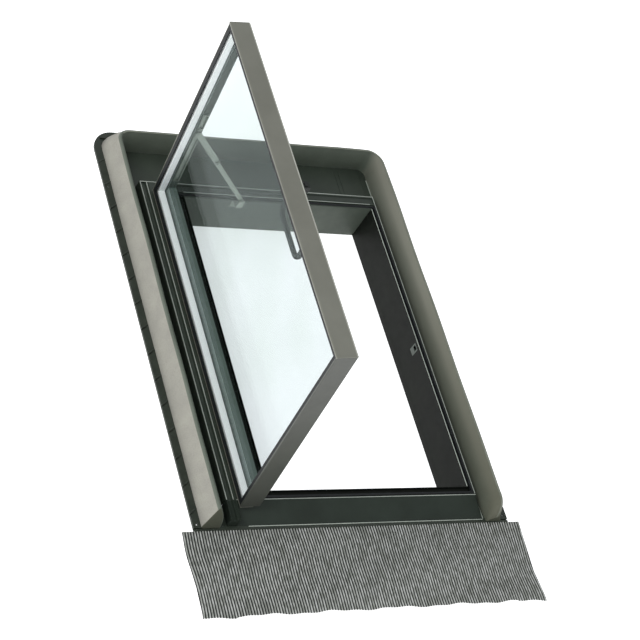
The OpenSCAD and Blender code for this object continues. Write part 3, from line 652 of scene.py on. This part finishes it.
LEFT, RIGHT, LOW, HIGH, ROOM, FACE = -229.0, 289.0, -380.0, 380.0, 29.3, 71.8
rail_lacquer = lacquer("stoved_lacquer_rail", "#4c554d", "#414a42", 0.38)
# Copies of the rail lacquer: the hinge stile's is paler as painted light, and the sill rail's darker as
# painted shade.
hinge_stile_painted_light = lacquer("stoved_lacquer_hinge_stile_painted_light", "#7f8d84", "#717f76", 0.34)
sill_rail_painted_shade = lacquer("stoved_lacquer_sill_rail_painted_shade", "#3a423b", "#313832", 0.38)
rail = np.array([(1.6, ROOM), (4.0, ROOM), (4.4, ROOM + 1.2), (21.0, ROOM + 1.2), (21.4, ROOM),
                 (24.6, ROOM), (26.0, ROOM + 1.4), (26.0, 44.6), (24.4, 46.2), (3.6, 46.2), (3.6, 70.2),
                 (1.6, 70.2)])


def along_side(section, side, y0, y1):
    """A section of (distance in, height) carried up a side of the sash; side is -1 at the hinges."""
    a, z = section[:, 0], section[:, 1]
    x = (LEFT + a) if side < 0 else (RIGHT - a)
    return skin(np.stack([np.stack([x, np.full_like(a, y), z], 1) for y in (y0, y1)]))


def along_end(section, side, x0, x1):
    """A section of (distance in, height) carried across an end of the sash; side is -1 at the sill."""
    a, z = section[:, 0], section[:, 1]
    y = side * (HIGH - a)
    return skin(np.stack([np.stack([np.full_like(a, x), y, z], 1) for x in (x0, x1)]))


coat_nodes(hinge_stile_painted_light, "sash_stile_hinge")
sash_piece("sash_stile_lock_profile", along_side(rail, 1, -378.4, 378.4), rail_lacquer, "sash", "core",
           ["sash_stile_lock"])
end_rail = rail.copy()
end_rail[:, 0] = np.where(rail[:, 0] > 20, rail[:, 0] - 12.0, rail[:, 0])
for side, name, coat in ((1, "head", rail_lacquer), (-1, "sill", sill_rail_painted_shade)):
    sash_piece("sash_rail_%s_profile" % name, along_end(end_rail, side, LEFT + 26.1, RIGHT - 26.1), coat,
               "sash", "core", ["sash_rail_" + name])

# Painted light: the hinge stile's ledge is near white and its lip pale grey.
hinge_lip_painted_light = lacquer("stoved_lacquer_reveal_lip_painted_light", "#8f9b94", "#838f88", 0.34)
hinge_ledge_painted_light = lacquer("stoved_lacquer_ledge_painted_light", "#eaf1ed", "#dde6e1", 0.34)
sash_piece("hinge_stile_ledge", bar((LEFT + 14.6, -365, 46.1), (LEFT + 26.2, 365, 46.9)), hinge_ledge_painted_light,
           "sash", "core", (), 0.15)
sash_piece("hinge_stile_lip", bar((LEFT + 25.9, -365, 37.5), (LEFT + 26.5, 365, 44.4)), hinge_lip_painted_light,
           "sash", "core", (), 0.15)

# ---- Cladding ----
# Brown-grey lacquered aluminium caps the outside of the sash; the long pieces lie over the short
# ones, with a hairline joint at each corner.
clad_lacquer = lacquer("stoved_lacquer_brown_grey", "#7a7a70", "#707066", 0.36, 110.0, 10.0)


def cap(foot):
    """Cladding section: a skirt from its foot height, a rounded shoulder, and a narrow return on the face."""
    t = np.linspace(0, math.pi / 2, 6)
    shoulder = np.stack([2.2 - 2.2 * np.cos(t), FACE - 2.2 + 2.2 * np.sin(t)], 1)
    inside = [(3.4, FACE), (3.4, FACE - 1.3), (1.6, FACE - 2.4), (1.6, foot)]
    return np.concatenate([[(0.0, foot)], shoulder, inside])


for side, name, foot in ((1, "lock", ROOM + 1), (-1, "hinge", 44.2)):
    sash_piece("cladding_%s_cap" % name, along_side(cap(foot), side, LOW, HIGH), clad_lacquer,
               "sash", "cladding", ["cladding_" + name], 0.25)
# The sill cap gets a darker copy of the brown-grey lacquer, as painted shade.
sill_cap_painted_shade = lacquer("stoved_lacquer_brown_grey_sill_painted_shade", "#4b4d46", "#42443e", 0.36, 110.0, 10.0)
for side, name, coat in ((1, "head", clad_lacquer), (-1, "sill", sill_cap_painted_shade)):
    sash_piece("cladding_%s_cap" % name, along_end(cap(ROOM + 1), side, LEFT + 1.75, RIGHT - 1.75), coat,
               "sash", "cladding", ["cladding_" + name], 0.25)

# A pale bar along the lock cladding's room-side edge is a painted highlight.
lock_edge_painted_highlight = lacquer("painted_highlight_lock_edge", "#b4b5ab", "#a3a49a", 0.3)
lock_edge_highlight = bar((RIGHT - 1.5, LOW + 0.2, ROOM + 0.2), (RIGHT + 0.1, HIGH - 0.2, ROOM + 2.8))
sash_piece("cladding_lock_edge_highlight", lock_edge_highlight, lock_edge_painted_highlight, "sash", "cladding", (), 0.3)

# ---- Glazing gaskets ----
# A black gasket bridges from the cladding to the glass, and a bedding strip lies on the ledge.
lip_section = np.array([(3.3, 69.4), (3.3, 71.3), (11.6, 70.6), (12.8, 69.3), (12.2, 69.2)])
bed_section = np.array([(5.0, 46.2), (5.0, 47.2), (13.4, 47.2), (13.4, 46.2)])
sash_piece("glazing_gaskets", frame_ring(lip_section, LEFT, RIGHT, LOW, HIGH), seal_rubber, "sash", "seal",
           ["glazing_seal"], 0.2)
bed_tape = rubber("pale_butyl_tape", "#c9d0cc", "#b6beb9")
sash_piece("glazing_bed", frame_ring(bed_section, LEFT, RIGHT, LOW, HIGH), bed_tape, "sash", "spacer",
           (), 0.2)


# ---- Glass unit ----
# Two float panes with polished edges and a pale spacer between them.
def float_glass(name, thin, thick):
    """Float glass: a faint green body, with the sky's reflection growing towards grazing angles."""
    mat, tree, out = new_material(name)
    where = add_node(tree, "ShaderNodeTexCoord")
    draw = add_node(tree, "ShaderNodeTexNoise", {"Vector": where.outputs["Object"]}, Scale=5.0, Detail=2.0)
    tone = add_node(tree, "ShaderNodeValToRGB", {"Fac": draw.outputs["Fac"]})
    tone.color_ramp.elements[0].position, tone.color_ramp.elements[0].color = 0.35, thick
    tone.color_ramp.elements[1].position, tone.color_ramp.elements[1].color = 0.65, thin
    clear = add_node(tree, "ShaderNodeBsdfTransparent", {"Color": tone.outputs["Color"]})
    shine = add_node(tree, "ShaderNodeBsdfGlossy", Roughness=0.02)
    shine.inputs["Color"].default_value = (0.86, 0.95, 0.93, 1)
    tilt = add_node(tree, "ShaderNodeLayerWeight", Blend=0.5)
    steep = add_node(tree, "ShaderNodeMath", operation="POWER")
    tree.links.new(tilt.outputs["Facing"], steep.inputs[0])
    steep.inputs[1].default_value = 4.0
    edge = add_node(tree, "ShaderNodeMath", operation="MULTIPLY_ADD", use_clamp=True)
    tree.links.new(steep.outputs[0], edge.inputs[0])
    edge.inputs[1].default_value, edge.inputs[2].default_value = 0.11, 0.008
    mix = add_node(tree, "ShaderNodeMixShader")
    tree.links.new(edge.outputs[0], mix.inputs[0])
    tree.links.new(clear.outputs[0], mix.inputs[1])
    tree.links.new(shine.outputs[0], mix.inputs[2])
    tree.links.new(mix.outputs[0], out.inputs["Surface"])
    return mat


clear_glass = float_glass("float_glass_clear", (0.98, 0.988, 0.986, 1), (0.968, 0.978, 0.975, 1))
body_glass = float_glass("float_glass_tinted", (0.79, 0.808, 0.815, 1), (0.765, 0.79, 0.786, 1))


def pane(z0, z1):
    ring = np.array([(LEFT + 5, LOW + 5), (RIGHT - 5, LOW + 5), (RIGHT - 5, HIGH - 5), (LEFT + 5, HIGH - 5)])
    return skin(np.stack([np.column_stack([ring, np.full(4, z)]) for z in (z0, z1)]))


sash_piece("pane_outside", pane(65.2, 69.2), clear_glass, "sash", "glass", ["outer_pane"], 0)
sash_piece("pane_inside", pane(47.2, 51.2), body_glass, "sash", "glass", ["inner_pane"], 0)


def spacer_finish():
    """Warm-edge spacer bar: pale satin coating with a soft speckle of about 5 mm."""
    mat, tree, out = new_material("pale_spacer_coating")
    where = add_node(tree, "ShaderNodeTexCoord")
    speck = noise(tree, where, 5.0, 3.0)
    tone = add_node(tree, "ShaderNodeValToRGB", {"Fac": speck.outputs["Fac"]})
    tone.color_ramp.elements[0].color = paint("#f6faf8")
    tone.color_ramp.elements[1].color = paint("#ffffff")
    shader = add_node(tree, "ShaderNodeBsdfPrincipled", {"Base Color": tone.outputs["Color"]}, Roughness=0.4)
    tree.links.new(shader.outputs["BSDF"], out.inputs["Surface"])
    return mat


spacer_section = np.array([(7.0, 51.2), (14.0, 51.2), (14.5, 52.4), (14.5, 64.0), (14.0, 65.2), (7.0, 65.2)])
sash_piece("spacer_bar", frame_ring(spacer_section, LEFT, RIGHT, LOW, HIGH), spacer_finish(),
           "sash", "spacer", ["glass_spacer"], 0.2)


# ---- Hinges, stay and latch metal ----
# Galvanised steel: two butt hinges, and a folding stay of two links between a bracket on the head
# lining and a shoe in a channel on the head rail.
def galvanised():
    """Zinc coat: grey metal, spangle about 6 mm across, and a satin, slightly streaky gloss."""
    mat, tree, out = new_material("galvanised_steel")
    where = add_node(tree, "ShaderNodeTexCoord")
    spangle = add_node(tree, "ShaderNodeTexVoronoi", {"Vector": where.outputs["Object"]}, Scale=1000.0 / 6.0)
    tone = add_node(tree, "ShaderNodeValToRGB", {"Fac": spangle.outputs["Color"]})
    tone.color_ramp.elements[0].color = paint("#888f86")
    tone.color_ramp.elements[1].color = paint("#a0a69c")
    streak = noise(tree, where, 3.0, 3.0)
    gloss = add_node(tree, "ShaderNodeMapRange", {"Value": streak.outputs["Fac"]})
    gloss.inputs["To Min"].default_value, gloss.inputs["To Max"].default_value = 0.3, 0.5
    shader = add_node(tree, "ShaderNodeBsdfPrincipled", {"Base Color": tone.outputs["Color"],
                      "Roughness": gloss.outputs["Result"]})
    shader.inputs["Metallic"].default_value = 0.75
    tree.links.new(shader.outputs["BSDF"], out.inputs["Surface"])
    return mat


zinc = galvanised()
coat_nodes(rail_lacquer, "keep_plate")
coat_nodes(zinc, "hinge_leaf_frame_upper", "hinge_leaf_frame_lower", "hinge_pin_upper", "hinge_pin_lower",
           "hinge_leaf_sash_upper", "hinge_leaf_sash_lower", "hinge_screws_frame", "hinge_screws_sash",
           "stay_bracket", "stay_bracket_screws", "stay_pin", "stay_elbow_rivet", "stay_channel", "stay_shoe",
           "stay_lower_link", "stay_upper_link")

# ---- Handle ----
# A moulded dark plastic bow on a base block beside the lock stile; its bar is rounded to the hand.
def moulded(name, base, low):
    """Moulded polyamide: dark green-grey, with a spark-eroded texture of about a millimetre."""
    mat, tree, out = new_material(name)
    where = add_node(tree, "ShaderNodeTexCoord")
    grain = noise(tree, where, 0.9, 2.0)
    tone = add_node(tree, "ShaderNodeValToRGB", {"Fac": grain.outputs["Fac"]})
    tone.color_ramp.elements[0].color = paint(low)
    tone.color_ramp.elements[1].color = paint(base)
    bump = add_node(tree, "ShaderNodeBump", {"Height": grain.outputs["Fac"]}, Strength=0.5, Distance=0.00008)
    shader = add_node(tree, "ShaderNodeBsdfPrincipled", {"Base Color": tone.outputs["Color"],
                      "Normal": bump.outputs["Normal"]}, Roughness=0.5)
    shader.inputs["IOR"].default_value = 1.53
    tree.links.new(shader.outputs["BSDF"], out.inputs["Surface"])
    return mat


handle_plastic = moulded("moulded_polyamide", "#151916", "#101311")
coat_nodes(handle_plastic, "handle_base", "handle_screws", "handle_pin", "latch_bolt")


def bow_bar():
    """A rounded bar carried round a D: down one arm, through two 17 mm bends and back up the other."""
    px, pz, top, low, reach, corner = 255.0, 22.3, 21.0, -93.0, 83.0, 17.0
    arm = [(px - t, top) for t in np.linspace(0, reach - corner, 8)]
    a = np.linspace(math.pi / 2, math.pi, 9)[1:]
    arm += [(px - reach + corner + corner * math.cos(t), top - corner + corner * math.sin(t)) for t in a]
    arm += [(px - reach, y) for y in np.linspace(top - corner, low + corner, 10)[1:]]
    a = np.linspace(math.pi, 1.5 * math.pi, 9)[1:]
    arm += [(px - reach + corner + corner * math.cos(t), low + corner + corner * math.sin(t)) for t in a]
    arm += [(px - t, low) for t in np.linspace(reach - corner, 0, 8)[1:]]
    line = np.array(arm)
    along = np.gradient(line, axis=0)
    along /= np.linalg.norm(along, axis=1)[:, None]
    out = np.stack([along[:, 1], -along[:, 0]], 1)
    t = np.linspace(0, 2 * math.pi, 24, endpoint=False)
    wide = 4.9 * np.sign(np.cos(t)) * np.abs(np.cos(t)) ** 0.55
    tall = 4.4 * np.sign(np.sin(t)) * np.abs(np.sin(t)) ** 0.55
    x = line[:, 0][:, None] + out[:, 0][:, None] * wide
    y = line[:, 1][:, None] + out[:, 1][:, None] * wide
    z = np.broadcast_to(pz + tall, x.shape)
    return skin(np.stack([x, y, z], -1))


sash_piece("handle_bow_moulded", bow_bar(), handle_plastic, "handle", "handle", ["handle_bow"], 0, sharp=60)
